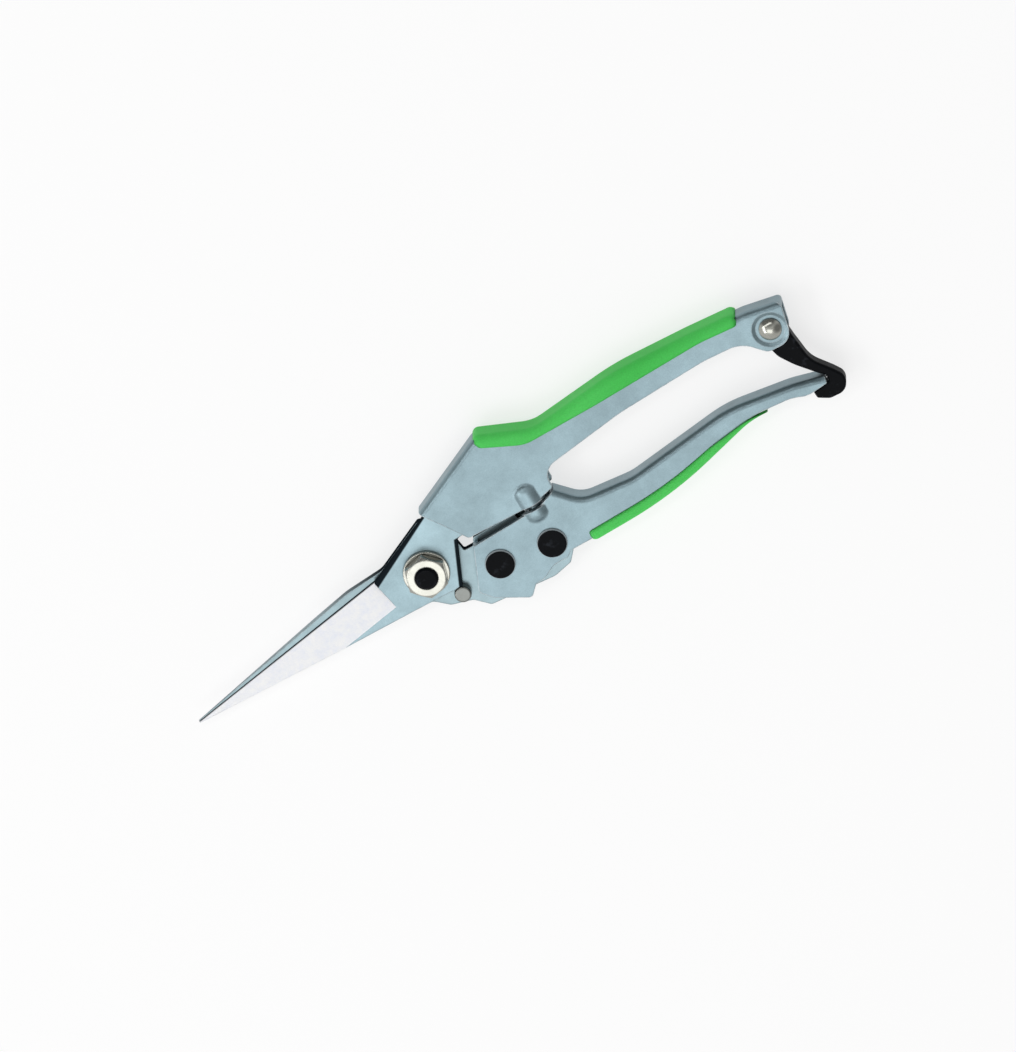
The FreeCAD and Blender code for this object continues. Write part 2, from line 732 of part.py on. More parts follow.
def turned_body(label, corners, place, base_z):
    """A body turned about an upright axis at place; corners are (radius, height)."""
    body = doc.addObject("PartDesign::Body", "body_" + label)
    body.Label = label
    body.Placement = Placement(Vector(place[0], place[1], 0), Rotation())
    body.setExpression(".Placement.Base.z", base_z)
    turn_sketch(body, make_sketch(body, rounded_curves(corners), role="XZ_Plane"))
    return body


def pivot_bolt():
    head = hexagon("bolt_head", "head_height", "0")
    shank = doc.addObject("Part::Cylinder", "bolt_shank")
    shank.setExpression("Radius", "Sizes.bolt_dia / 2")
    shank.setExpression("Height", BOLT_LENGTH)
    bolt = doc.addObject("Part::Fuse", "bolt")
    bolt.Base = head
    bolt.Tool = shank
    doc.recompute()
    end = bolt.Shape.BoundBox.ZMax
    chamfer = doc.addObject("Part::Chamfer", "bolt_end")
    chamfer.Base = bolt
    rim = next(
        i
        for i, edge in enumerate(bolt.Shape.Edges, start=1)
        if abs(edge.BoundBox.ZMin - end) < 1e-6 and edge.BoundBox.XLength > S.bolt_dia / 2
    )
    chamfer.Edges = [(rim, BOLT_CHAMFER, BOLT_CHAMFER)]
    chamfer.Label = "pivot_bolt"
    return chamfer


def washer(label, base_expr):
    inner = S.bolt_dia / 2 + S.bolt_clear
    outer = S.washer_dia / 2
    edge = 0.2
    corners = [
        (inner, 0),
        (outer, 0, edge),
        (outer, S.washer_thick, edge),
        (inner, S.washer_thick),
    ]
    return turned_body(label, corners, PIVOT, base_expr)


def pivot_nut():
    bore = doc.addObject("Part::Cylinder", "nut_bore")
    bore.setExpression("Radius", "Sizes.bolt_dia / 2 + Sizes.rivet_fit")
    bore.setExpression("Height", "3 * Sizes.nut_height")
    bore.setExpression(".Placement.Base.z", f"{NUT_BASE} - Sizes.nut_height")
    nut = doc.addObject("Part::Cut", "nut")
    nut.Base = hexagon("nut_hexagon", "nut_height", NUT_BASE)
    nut.Tool = bore
    nut.Label = "pivot_nut"
    return nut


# ---------------------------------------------------------------- rivets, pins and spacers


def lower_rivets():
    """Two rivets through both cheeks, their heads bearing on the cheeks."""
    radius = S.rivet_dia / 2
    head = S.rivet_head_dia / 2
    face = CHEEK_OUTER + S.seat_gap
    top = face + S.rivet_head_height
    corners = [
        (0, -top),
        (head, -top, 0.55),
        (head, -face),
        (radius, -face),
        (radius, face),
        (head, face),
        (head, top, 0.55),
        (0, top),
    ]
    solids = [
        turned_body(f"rivet_{i}", corners, place, MID_EXPR)
        for i, place in enumerate(LOWER_RIVETS)
    ]
    return group("lower_rivets", solids)


def spacers(label, places, bore_dia, outer_dia, front):
    """Round spacers that fill the channel beside a tang that is half its width."""
    inner = bore_dia / 2 + S.rivet_fit
    outer = outer_dia / 2
    low = 0.0
    high = CHEEK_INNER - S.seat_gap
    if not front:
        low, high = -high, -low
    corners = [(inner, low), (outer, low, 0.15), (outer, high, 0.15), (inner, high)]
    solids = [
        turned_body(f"{label}_{i}", corners, place, MID_EXPR) for i, place in enumerate(places)
    ]
    return group(label, solids)


def tang_pins():
    """Two pins pressed in from the rear: level with the rear cheek, blind in the front one."""
    radius = S.tang_pin_dia / 2
    low = -CHEEK_OUTER
    high = CHEEK_INNER + S.tang_pin_bite - S.seat_gap
    corners = [(0, low), (radius, low, 0.2), (radius, high, 0.3), (0, high)]
    solids = [
        turned_body(f"tang_pin_{i}", corners, place, MID_EXPR)
        for i, place in enumerate(TANG_PINS)
    ]
    return group("tang_pins", solids)


def stop_pin():
    """A headed pin riveted into the rear blade; the front blade's notch closes against it."""
    shank = S.stop_shank_dia / 2 - S.rivet_fit
    head = S.stop_pin_dia / 2
    face = -S.blade_gap / 2 + S.seat_gap
    back = -S.blade_gap / 2 - S.blade_thick
    corners = [
        (0, back),
        (shank, back, 0.1),
        (shank, face),
        (head, face),
        (head, face + S.stop_pin_height, 0.5),
        (0, face + S.stop_pin_height),
    ]
    return turned_body("stop_pin", corners, STOP_PIN, MID_EXPR)


# ---------------------------------------------------------------- spring and its seats


def spring_seat(label, ledge_y, sign):
    """A turned seat in a bulge: a disc on the ledge and a peg inside the end of the coil."""
    disc = S.spring_dia / 2 + S.spring_clear - 0.1
    peg = S.spring_dia / 2 - S.wire_dia - S.peg_clear
    foot = S.seat_gap
    corners = [
        (0, foot),
        (disc, foot, 0.2),
        (disc, foot + S.seat_thick, 0.2),
        (peg, foot + S.seat_thick),
        (peg, foot + S.seat_thick + S.peg_height, 0.5),
        (0, foot + S.seat_thick + S.peg_height),
    ]
    body = turned_body(label, corners, (S.spring_reach, ledge_y), MID_EXPR)
    tilt = Rotation(Vector(1, 0, 0), 90 if sign < 0 else -90)
    body.Placement = Placement(body.Placement.Base, tilt)
    return body


def handle_spring():
    """The compression coil between the two seats, at its closed length."""
    wire = S.wire_dia / 2
    low = -S.lower_seat_depth + 2 * S.seat_gap + S.seat_thick + wire
    high = S.upper_seat_height - 2 * S.seat_gap - S.seat_thick - wire
    coil = doc.addObject("Part::Helix", "spring_line")
    coil.setExpression("Radius", "Sizes.spring_dia / 2 - Sizes.wire_dia / 2")
    coil.Height = high - low
    coil.Pitch = (high - low) / S.spring_turns
    coil.SegmentLength = 1
    section = doc.addObject("Part::Circle", "spring_wire")
    section.setExpression("Radius", "Sizes.wire_dia / 2")
    section.Placement = Placement(
        Vector(S.spring_dia / 2 - wire, 0, 0), Rotation(Vector(1, 0, 0), 90)
    )
    spring = doc.addObject("Part::Sweep", "spring_sweep")
    spring.Sections = [section]
    spring.Spine = coil
    spring.Solid = True
    spring.Frenet = True
    spring.Label = "handle_spring"
    spring.Placement = Placement(
        Vector(S.spring_reach, low, 0), Rotation(Vector(1, 0, 0), -90)
    )
    spring.setExpression(".Placement.Base.z", MID_EXPR)
    return spring


# ---------------------------------------------------------------- catch


def catch():
    """The hooked catch: a hub on its bush between the cheeks, an arm, and a lip under the nose."""
    body = make_body("catch")
    hub = circle_sketch(
        body, [CATCH], "Sizes.catch_hub_dia / 2", cells=("catch_reach", "catch_height")
    )
    pad(body, hub, "Sizes.catch_thick", symmetric=True)
    x, gap = S.catch_reach, S.catch_clear
    lip_radius = S.nose_radius + gap
    nose_end = NOSE_REACH + gap
    nose_top = NOSE_UNDER + 1.7 + gap
    middle = nose_end - 2.4
    corners = [
        (x - 3.6, S.catch_height - 2.2),
        (x - 2.3, S.catch_height - 8.0, 6.0),
        (x + 0.2, 2.4, 16.0),
        (nose_end - 1.2, nose_top + 0.7, 1.2),
        (nose_end + 0.1, nose_top - 0.5, 0.8),
        (nose_end + 0.1, along_arc(CATCH, lip_radius, nose_end), 0.5),
        (middle, along_arc(CATCH, lip_radius, middle), 14.0),
        (x + 0.7, along_arc(CATCH, lip_radius, x + 0.7), 0.6),
        (x + 0.8, -8.4, 0.7),
        (x + 3.6, -10.1, 2.4),
        (x + 8.0, -10.3, 3.2),
        (x + 10.2, -6.7, 3.0),
        (x + 8.3, -3.6, 4.0),
        (x + 4.5, 1.6, 8.0),
        (x + 3.8, S.catch_height - 5.5, 8.0),
        (x + 3.6, S.catch_height - 1.8),
    ]
    pad(body, make_sketch(body, rounded_curves(corners)), "Sizes.catch_thick", symmetric=True)
    bore = circle_sketch(
        body,
        [CATCH],
        "Sizes.catch_rivet_dia / 2 + Sizes.bush_wall + Sizes.rivet_fit + Sizes.bolt_clear",
        cells=("catch_reach", "catch_height"),
    )
    pocket(body, bore, "4 * Sizes.catch_thick", symmetric=True)
    outline = rounded_curves(corners)
    round_edges(body, outline[1:-1], S.catch_thick / 2, "Sizes.catch_round")
    return body


def catch_bush():
    inner = S.catch_rivet_dia / 2 + S.rivet_fit
    outer = inner + S.bush_wall
    half = CHEEK_INNER - S.seat_gap
    corners = [(inner, -half), (outer, -half, 0.15), (outer, half, 0.15), (inner, half)]
    return turned_body("catch_bush", corners, CATCH, MID_EXPR)


def catch_rivet():
    """A domed rivet at each cheek's dimple, with the catch's bush on its shank."""
    radius = S.catch_rivet_dia / 2
    head = S.catch_head_dia / 2
    face = CHEEK_OUTER - S.dimple_depth + S.seat_gap
    top = face + S.catch_head_height
    rim = 0.35
    rise = S.catch_head_height - rim
    dome = (head**2 + rise**2) / (2 * rise)
    half_way = math.asin(head / dome) / 2
    bend = Vector(dome * math.sin(half_way), top - dome * (1 - math.cos(half_way)), 0)
    body = doc.addObject("PartDesign::Body", "body_catch_rivet")
    body.Label = "catch_rivet"
    body.setExpression(".Placement.Base.x", "Sizes.catch_reach")
    body.setExpression(".Placement.Base.y", "Sizes.catch_height")
    body.setExpression(".Placement.Base.z", MID_EXPR)
    half = [(0, top), (head, face + rim), (head, face), (radius, face)]
    front = [Vector(x, y, 0) for x, y in half]
    rear = [Vector(p.x, -p.y, 0) for p in front]
    curves = [
        Part.LineSegment(rear[0], front[0]),
        Part.Arc(front[0], bend, front[1]),
        Part.LineSegment(front[1], front[2]),
        Part.LineSegment(front[2], front[3]),
        Part.LineSegment(front[3], rear[3]),
        Part.LineSegment(rear[3], rear[2]),
        Part.LineSegment(rear[2], rear[1]),
        Part.Arc(rear[1], Vector(bend.x, -bend.y, 0), rear[0]),
    ]
    turn_sketch(body, make_sketch(body, curves, role="XZ_Plane"))
    return body


def all_parts():
    return [
        upper_handle(),
        lower_handle(),
        upper_grip(),
        lower_grip(),
        front_blade(),
        rear_blade(),
        pivot_bolt(),
        pivot_nut(),
        washer("nut_washer", NUT_WASHER_BASE),
        washer("head_washer", "Sizes.head_height + Sizes.seat_gap"),
        lower_rivets(),
        spacers("rivet_spacers", LOWER_RIVETS, S.rivet_dia, S.rivet_dia + 2.6, front=True),
        tang_pins(),
        spacers("tang_spacers", TANG_PINS, S.tang_pin_dia, S.tang_pin_dia + 3.0, front=False),
        stop_pin(),
        spring_seat("upper_spring_seat", S.upper_seat_height, -1),
        spring_seat("lower_spring_seat", -S.lower_seat_depth, 1),
        handle_spring(),
        catch(),
        catch_bush(),
        catch_rivet(),
    ]


def check_and_write(parts):
    """Stops on a failed feature, then writes each sub-part to its own STEP file."""
    doc.recompute()
    for item in doc.Objects:
        if "Invalid" in item.State or "Error" in item.State:
            raise RuntimeError(f"{item.Name} ({item.Label}) failed: {item.State}")
    for part in parts:
        if part.Shape.isNull() or not part.Shape.isValid():
            raise RuntimeError(f"{part.Label} has no valid shape")
    os.makedirs("parts", exist_ok=True)
    for part in parts:
        part.Shape.exportStep(os.path.join("parts", part.Label + ".step"))
        box = part.Shape.BoundBox
        print(
            f"{part.Label:20s} solids {len(part.Shape.Solids)} volume {part.Shape.Volume:9.2f}"
            f"  x {box.XMin:7.2f} {box.XMax:7.2f}  y {box.YMin:7.2f} {box.YMax:7.2f}"
            f"  z {box.ZMin:6.2f} {box.ZMax:6.2f}"
        )


check_and_write(all_parts())
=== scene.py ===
import json
import math

import bmesh
import bpy
from mathutils import Matrix, Vector


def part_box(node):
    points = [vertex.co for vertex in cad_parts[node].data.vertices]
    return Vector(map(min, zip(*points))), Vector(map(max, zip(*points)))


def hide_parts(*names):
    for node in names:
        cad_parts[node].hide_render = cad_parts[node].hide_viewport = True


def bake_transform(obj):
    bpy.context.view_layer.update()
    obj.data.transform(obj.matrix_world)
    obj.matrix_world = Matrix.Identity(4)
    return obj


# Floral snips lying closed on a white light table. Metres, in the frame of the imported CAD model:
# origin on the pivot axis at the underside of the bolt head, X from tips to tail, Z thickness.

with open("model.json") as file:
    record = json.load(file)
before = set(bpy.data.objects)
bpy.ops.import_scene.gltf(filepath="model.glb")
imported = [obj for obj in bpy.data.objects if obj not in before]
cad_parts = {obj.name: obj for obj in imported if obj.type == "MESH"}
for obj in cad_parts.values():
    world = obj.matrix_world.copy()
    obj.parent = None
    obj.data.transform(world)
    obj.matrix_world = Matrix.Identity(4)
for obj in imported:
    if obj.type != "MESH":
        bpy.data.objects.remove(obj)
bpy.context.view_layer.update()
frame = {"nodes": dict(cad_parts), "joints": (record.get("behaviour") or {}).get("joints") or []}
NODES = frame["nodes"]
MM = 0.001
HINGE = {joint["name"]: Vector(joint["pos_m"]) for joint in frame["joints"]}
MID = HINGE["handles_open"].z
CHEEK_FACE = MID + 3.5 * MM          # front face of the handles' sheet metal

# ---------------------------------------------------------------- camera, table and lights

VIEW_TURN = math.radians(30.0)       # how far the blades' axis is turned in the picture
VIEW_TILT = math.radians(22.0)       # how far the view leans from straight down
VIEW_HEIGHT = 267.0 * MM
VIEW_DISTANCE = 8.0
SENSOR = 36.0
AIM_RIGHT = 20.69 * MM               # middle of the picture, from the pivot at the cheek face
AIM_UP = 12.31 * MM

# directions in the picture: right, up along the table, up in the picture, and to the camera
RIGHT = Vector((math.cos(VIEW_TURN), -math.sin(VIEW_TURN), 0))
AWAY = Vector((math.sin(VIEW_TURN), math.cos(VIEW_TURN), 0))
UPRIGHT = Vector((0, 0, 1))
UP = AWAY * math.cos(VIEW_TILT) - UPRIGHT * math.sin(VIEW_TILT)
BACK = AWAY * math.sin(VIEW_TILT) + UPRIGHT * math.cos(VIEW_TILT)
SNIPS_CENTRE = Vector((0.024, 0.004, MID))

TABLE_HALF = 8.0
TABLE_TOP = -0.05 * MM               # a hair below the bolt head, so that the two never coincide
TABLE_COLOUR = (0.3, 0.3, 0.3)
TABLE_GLOW = 0.70
LIGHT_DISTANCE = 1.5


def add(name, data):
    item = bpy.data.objects.new(name, data)
    bpy.context.scene.collection.objects.link(item)
    return item


def make_camera():
    centre = Vector((0, 0, CHEEK_FACE)) + RIGHT * AIM_RIGHT + UP * AIM_UP
    data = bpy.data.cameras.new("camera")
    camera = add("camera", data)
    turn = Matrix((RIGHT, UP, BACK)).transposed()
    camera.matrix_world = Matrix.Translation(centre + BACK * VIEW_DISTANCE) @ turn.to_4x4()
    data.sensor_fit = "VERTICAL"
    data.sensor_height = SENSOR
    data.lens = SENSOR * VIEW_DISTANCE / VIEW_HEIGHT
    bpy.context.scene.camera = camera


def sky(right, away, height):
    """A direction given by the picture's right, its up along the table, and height."""
    return (RIGHT * right + AWAY * away + UPRIGHT * height).normalized()


def softbox(name, towards, size, power):
    """A rectangular light that faces the middle of the snips."""
    data = bpy.data.lights.new(name, "AREA")
    data.shape = "RECTANGLE"
    data.size, data.size_y = size
    data.energy = power
    light = add(name, data)
    light.location = SNIPS_CENTRE + towards * LIGHT_DISTANCE
    light.rotation_euler = (-towards).to_track_quat("-Z", "Y").to_euler()


def node_material(name):
    material = bpy.data.materials.new(name)
    material.use_nodes = True
    tree = material.node_tree
    return material, tree, tree.nodes["Principled BSDF"]


def make_table():
    """A white light table: part of its brightness is its own, so that shadows stay faint."""
    mesh = bpy.data.meshes.new("table")
    half, top = TABLE_HALF, TABLE_TOP
    corners = [(-half, -half, top), (half, -half, top), (half, half, top), (-half, half, top)]
    mesh.from_pydata(corners, [], [(0, 1, 2, 3)])
    table = add("table", mesh)
    material, tree, shader = node_material("table_white")
    shader.inputs["Base Color"].default_value = (*TABLE_COLOUR, 1)
    shader.inputs["Roughness"].default_value = 0.9
    shader.inputs["Specular IOR Level"].default_value = 0.0
    shader.inputs["Emission Color"].default_value = (1, 1, 1, 1)
    shader.inputs["Emission Strength"].default_value = TABLE_GLOW
    mesh.materials.append(material)


def facing_sky(tree, direction):
    """1 where the sky lies in a direction and -1 opposite to it."""
    coordinates = tree.nodes.new("ShaderNodeTexCoord")
    node = tree.nodes.new("ShaderNodeVectorMath")
    node.operation = "DOT_PRODUCT"
    node.inputs[1].default_value = direction
    tree.links.new(coordinates.outputs["Generated"], node.inputs[0])
    return node.outputs["Value"]


def make_lights():
    """A bright studio for the metal to reflect, dark low behind the snips and at one side."""
    scene = bpy.context.scene
    scene.view_settings.view_transform = "Standard"
    world = bpy.data.worlds.new("studio")
    world.use_nodes = True
    tree = world.node_tree
    low_behind = facing_sky(tree, sky(-0.30, 0.85, 0.42))
    right_side = facing_sky(tree, sky(0.75, -0.10, 0.60))
    behind = spread(tree, low_behind, low=0.86, high=0.22, start=0.42, end=0.74)
    beside = spread(tree, right_side, low=1.0, high=0.35, start=0.78, end=0.95)
    level = math_node(tree, "MULTIPLY", behind, beside)
    background = tree.nodes["Background"]
    background.inputs["Color"].default_value = (1, 1, 1, 1)
    tree.links.new(level, background.inputs["Strength"])
    scene.world = world
    softbox("overhead", sky(0, -0.374, 0.927), size=(0.9, 0.7), power=3.0)
    softbox("bend_strip", sky(-0.25, 0.42, 0.87), size=(1.4, 0.16), power=2.6)
    softbox("left_side", sky(-0.60, -0.25, 0.74), size=(1.2, 0.30), power=4.5)


# ---------------------------------------------------------------- material nodes


def link_or_set(tree, socket, value):
    """A number or colour is set on the socket, and another node's output is linked to it."""
    if isinstance(value, bpy.types.NodeSocket):
        tree.links.new(value, socket)
    elif isinstance(value, tuple):
        socket.default_value = (*value, 1)
    else:
        socket.default_value = value


def math_node(tree, operation, *inputs):
    node = tree.nodes.new("ShaderNodeMath")
    node.operation = operation
    for socket, value in zip(node.inputs, inputs):
        link_or_set(tree, socket, value)
    return node.outputs[0]


def noise(tree, scale, detail=4.0, roughness=0.55, stretch=(1, 1, 1), turn=0.0):
    """A noise value in object coordinates. scale is in features per metre."""
    coordinates = tree.nodes.new("ShaderNodeTexCoord")
    mapping = tree.nodes.new("ShaderNodeMapping")
    mapping.vector_type = "TEXTURE"
    mapping.inputs["Scale"].default_value = stretch
    mapping.inputs["Rotation"].default_value = (0, 0, turn)
    tree.links.new(coordinates.outputs["Object"], mapping.inputs["Vector"])
    texture = tree.nodes.new("ShaderNodeTexNoise")
    texture.inputs["Scale"].default_value = scale
    texture.inputs["Detail"].default_value = detail
    texture.inputs["Roughness"].default_value = roughness
    tree.links.new(mapping.outputs["Vector"], texture.inputs["Vector"])
    return texture.outputs["Fac"]


def spread(tree, value, low, high, start=0.0, end=1.0):
    """value taken from start..end to low..high, held at the ends."""
    node = tree.nodes.new("ShaderNodeMapRange")
    node.inputs["From Min"].default_value = start
    node.inputs["From Max"].default_value = end
    node.inputs["To Min"].default_value = low
    node.inputs["To Max"].default_value = high
    tree.links.new(value, node.inputs["Value"])
    return node.outputs["Result"]


def mix_colour(tree, factor, one, other):
    """One colour where factor is 0, and the other where it is 1."""
    node = tree.nodes.new("ShaderNodeMix")
    node.data_type = "RGBA"
    colours = [s for s in node.inputs if s.type == "RGBA"]
    link_or_set(tree, node.inputs[0], factor)
    link_or_set(tree, colours[0], one)
    link_or_set(tree, colours[1], other)
    return next(s for s in node.outputs if s.type == "RGBA")


def scaled(tree, colour, tone):
    """A colour times a tone value."""
    node = tree.nodes.new("ShaderNodeVectorMath")
    node.operation = "SCALE"
    if isinstance(colour, tuple):
        node.inputs[0].default_value = colour
    else:
        tree.links.new(colour, node.inputs[0])
    tree.links.new(tone, node.inputs["Scale"])
    return node.outputs["Vector"]


def rounded_normal(tree, radius):
    """The surface normal as if every edge were rounded to a radius."""
    node = tree.nodes.new("ShaderNodeBevel")
    node.samples = 6
    node.inputs["Radius"].default_value = radius
    return node.outputs["Normal"]


def edge_mask(tree, rounded):
    """1 on edges and 0 on flats, from how far the rounded normal leaves the true one."""
    geometry = tree.nodes.new("ShaderNodeNewGeometry")
    node = tree.nodes.new("ShaderNodeVectorMath")
    node.operation = "DOT_PRODUCT"
    tree.links.new(geometry.outputs["Normal"], node.inputs[0])
    tree.links.new(rounded, node.inputs[1])
    return spread(tree, node.outputs["Value"], low=1.0, high=0.0, start=0.88, end=0.995)


def crevice(tree, reach):
    """1 in the open and 0 deep in a corner or gap narrower than reach: the mask for painted shade.
    """
    node = tree.nodes.new("ShaderNodeAmbientOcclusion")
    node.samples = 8
    node.inputs["Distance"].default_value = reach
    return spread(tree, node.outputs["AO"], low=0.0, high=1.0, start=0.15, end=0.75)


def relief(tree, shader, height, strength, distance, rounded):
    """Fine bumps on the rounded normal."""
    node = tree.nodes.new("ShaderNodeBump")
    node.inputs["Strength"].default_value = strength
    node.inputs["Distance"].default_value = distance
    tree.links.new(height, node.inputs["Height"])
    tree.links.new(rounded, node.inputs["Normal"])
    tree.links.new(node.outputs["Normal"], shader.inputs["Normal"])


def split(tree, vector):
    """The X, Y and Z outputs of a vector."""
    node = tree.nodes.new("ShaderNodeSeparateXYZ")
    tree.links.new(vector, node.inputs["Vector"])
    return node.outputs


def true_normal(tree):
    """Components of the unrounded surface normal, in the frame that the node was made in."""
    geometry = tree.nodes.new("ShaderNodeNewGeometry")
    turn = tree.nodes.new("ShaderNodeVectorTransform")
    turn.vector_type = "NORMAL"
    turn.convert_from = "WORLD"
    turn.convert_to = "OBJECT"
    tree.links.new(geometry.outputs["True Normal"], turn.inputs["Vector"])
    return split(tree, turn.outputs["Vector"])


def place(tree):
    """The point's own X, Y and Z, in metres."""
    return split(tree, tree.nodes.new("ShaderNodeTexCoord").outputs["Object"])


# ---------------------------------------------------------------- materials


# Each metal has a paler colour for its edges: partly rubbed metal, partly a painted highlight.
PLATE = (0.225, 0.308, 0.340)
PLATE_RUBBED_HIGHLIGHT = (0.85, 0.90, 0.92)
FRONT_STEEL = (0.26, 0.355, 0.39)
# the rear blade's steel is a darker copy of the front blade's, as painted shade for the part lying
# underneath
REAR_STEEL_SHADED = (0.245, 0.325, 0.35)
BLADE_RUBBED_HIGHLIGHT = (0.75, 0.80, 0.82)
GROUND_SHADE = (0.90, 0.92, 0.98)
GROUND_LIGHT = (1.0, 1.0, 1.0)
GROUND_SCRATCH = (0.74, 0.78, 0.84)
DARK_SIDES_AND_SHADE = (0.010, 0.015, 0.019)
NICKEL = (0.40, 0.40, 0.36)
NICKEL_RUBBED_HIGHLIGHT = (0.7, 0.7, 0.66)
PIN_STEEL = (0.18, 0.19, 0.18)
PIN_RUBBED_HIGHLIGHT = (0.5, 0.52, 0.5)
BLACK_STEEL = (0.0028, 0.0034, 0.0045)
BLACK_RUBBED_HIGHLIGHT = (0.03, 0.033, 0.037)
BLACK_SMUDGE = (0.025, 0.029, 0.036)
RIVET_RIM_HIGHLIGHT = (0.50, 0.56, 0.59)
WIRE = (0.40, 0.42, 0.44)
WIRE_RUBBED_HIGHLIGHT = (0.7, 0.7, 0.7)
GREEN_DEEP = (0.065, 0.53, 0.09)
GREEN_LIGHT = (0.10, 0.64, 0.13)
RIM_FEATHER = 0.15 * MM              # softness of the boundaries of the painted dark bands

# lines in mm bounding painted shade on the front blade: a dark band at the shoulder, and a painted
# shadow along the edge by the lower handle
FRONT_SHADE_BANDS = [
    [((-11.0, 3.4), (6.4, 12.9))],
    [((10.6, 4.5), (5.1, -7.8)), ((20.0, 4.3), (0.0, 4.3))],
]
# line in mm beside the front blade's cutting edge: the ground bevel's strip beyond it gets a
# painted shadow line
CUTTING_EDGE = ((-70.9, -7.4), (-12.9, 3.55))


class Metal:
    """Plated or bare metal: soft clouds, fine grain, edges lightened partly by rubbing and partly
    as a painted highlight, and painted shade in crevices.
    """

    def __init__(
        self, name, colour, rubbed_highlight_colour, metallic, roughness, grain=0.10, rub_and_highlight=0.6, crevice_shade=0.55
    ):
        """The last three give the depth of the speckle, how far edges are lightened, partly as
        rubbing and partly as a painted highlight, and the tone of the painted shade in the deepest
        crevices."""
        self.material, tree, shader = node_material(name)
        self.tree, self.shader = tree, shader
        grains = noise(tree, 3600, 3)
        clouds = spread(tree, noise(tree, 70, 7, 0.75), 0.86, 1.14, 0.35, 0.65)
        speckle = spread(tree, grains, 1 - grain, 1 + grain, 0.3, 0.7)
        tone = math_node(tree, "MULTIPLY", clouds, speckle)
        rounded = rounded_normal(tree, 0.45 * MM)
        # edges lightened in patches, partly as rubbed metal and partly as a painted highlight,
        # with less metallic there so that they stay pale under any lamp
        patchy = spread(tree, noise(tree, 700, 3), 0.2, 1.0, 0.35, 0.6)
        rubbed_and_highlit = math_node(tree, "MULTIPLY", edge_mask(tree, rounded), patchy)
        rubbed_and_highlit = math_node(tree, "MULTIPLY", rubbed_and_highlit, rub_and_highlight)
        body = mix_colour(tree, rubbed_and_highlit, scaled(tree, colour, tone), rubbed_highlight_colour)
        # painted shade: the colour darkens into corners and into gaps between parts
        shade_free = crevice(tree, 0.7 * MM)
        self.base = scaled(tree, body, spread(tree, shade_free, crevice_shade, 1.0))
        tree.links.new(self.base, shader.inputs["Base Color"])
        self.metallic = spread(tree, rubbed_and_highlit, metallic, 0.2 * metallic)
        tree.links.new(self.metallic, shader.inputs["Metallic"])
        rough = spread(tree, grains, roughness * 0.88, roughness * 1.12, 0.3, 0.7)
        tree.links.new(rough, shader.inputs["Roughness"])
        relief(tree, shader, grains, 0.12, 0.03 * MM, rounded)

    def colour_over(self, factor, colour):
        """Another colour laid over the metal so far, as a coating, where factor is 1."""
        self.base = mix_colour(self.tree, factor, self.base, colour)
        self.tree.links.new(self.base, self.shader.inputs["Base Color"])
        bare = math_node(self.tree, "SUBTRACT", 1.0, factor)
        self.metallic = math_node(self.tree, "MULTIPLY", self.metallic, bare)
        self.tree.links.new(self.metallic, self.shader.inputs["Metallic"])


def left_of(tree, *lines):
    """1 on the left of every line, each from its start to its end, seen from the front."""
    x, y = place(tree)[:2]
    inside = 1.0
    for start, end in lines:
        run = (Vector(end) - Vector(start)).normalized()
        left = Vector((-run.y, run.x))
        reach = math_node(tree, "MULTIPLY_ADD", y, left.y, math_node(tree, "MULTIPLY", x, left.x))
        level = left.dot(Vector(start)) * MM
        mask = spread(tree, reach, 0.0, 1.0, level - RIM_FEATHER, level + RIM_FEATHER)
        inside = math_node(tree, "MULTIPLY", inside, mask)
    return inside


def blade_material(name, colour, side, shade_bands=(), edge_shadow_line=None):
    """Blade steel with a white ground bevel, its side faces painted near black, and painted shade
    bands and a painted shadow line where given; side is 1 front and -1 rear.
    """
    metal = Metal(name, colour, BLADE_RUBBED_HIGHLIGHT, metallic=0.9, roughness=0.36)
    metal.shader.inputs["Specular IOR Level"].default_value = 0.0
    tree = metal.tree
    facing = math_node(tree, "MULTIPLY", true_normal(tree)[2], side)
    # the side faces are painted near black, and on the rear blade they turn brighter towards its
    # tip
    rim = spread(tree, math_node(tree, "ABSOLUTE", facing), 1.0, 0.0, 0.35, 0.6)
    if side < 0:                     # the rear blade's rim is bright again towards its tip
        fade = spread(tree, place(tree)[0], 0.15, 1.0, -30 * MM, -10 * MM)
        rim = math_node(tree, "MULTIPLY", rim, fade)
    metal.colour_over(rim, DARK_SIDES_AND_SHADE)
    # painted shade: dark bands on the front blade, the shoulder's shade and a painted shadow by
    # the lower handle
    for shade_band_lines in shade_bands:
        metal.colour_over(left_of(tree, *shade_band_lines), DARK_SIDES_AND_SHADE)
    leaning = spread(tree, facing, 1.0, 0.0, 0.985, 0.995)
    outer = spread(tree, facing, 0.0, 1.0, 0.7, 0.8)
    ground = math_node(tree, "MULTIPLY", leaning, outer)
    frost = spread(tree, noise(tree, 420, 5, 0.7), 0.0, 1.0, 0.35, 0.65)
    white = mix_colour(tree, frost, GROUND_SHADE, GROUND_LIGHT)
    across_grain = noise(tree, 1400, 4, 0.7, stretch=(0.25, 1.0, 1.0), turn=math.radians(60))
    scratches = spread(tree, across_grain, 0.0, 0.35, 0.5, 0.75)
    metal.colour_over(ground, mix_colour(tree, scratches, white, GROUND_SCRATCH))
    # a painted shadow line on the ground bevel's strip along the cutting edge
    if edge_shadow_line:
        edge = math_node(tree, "MULTIPLY", ground, left_of(tree, edge_shadow_line))
        metal.colour_over(edge, DARK_SIDES_AND_SHADE)
    return metal.material


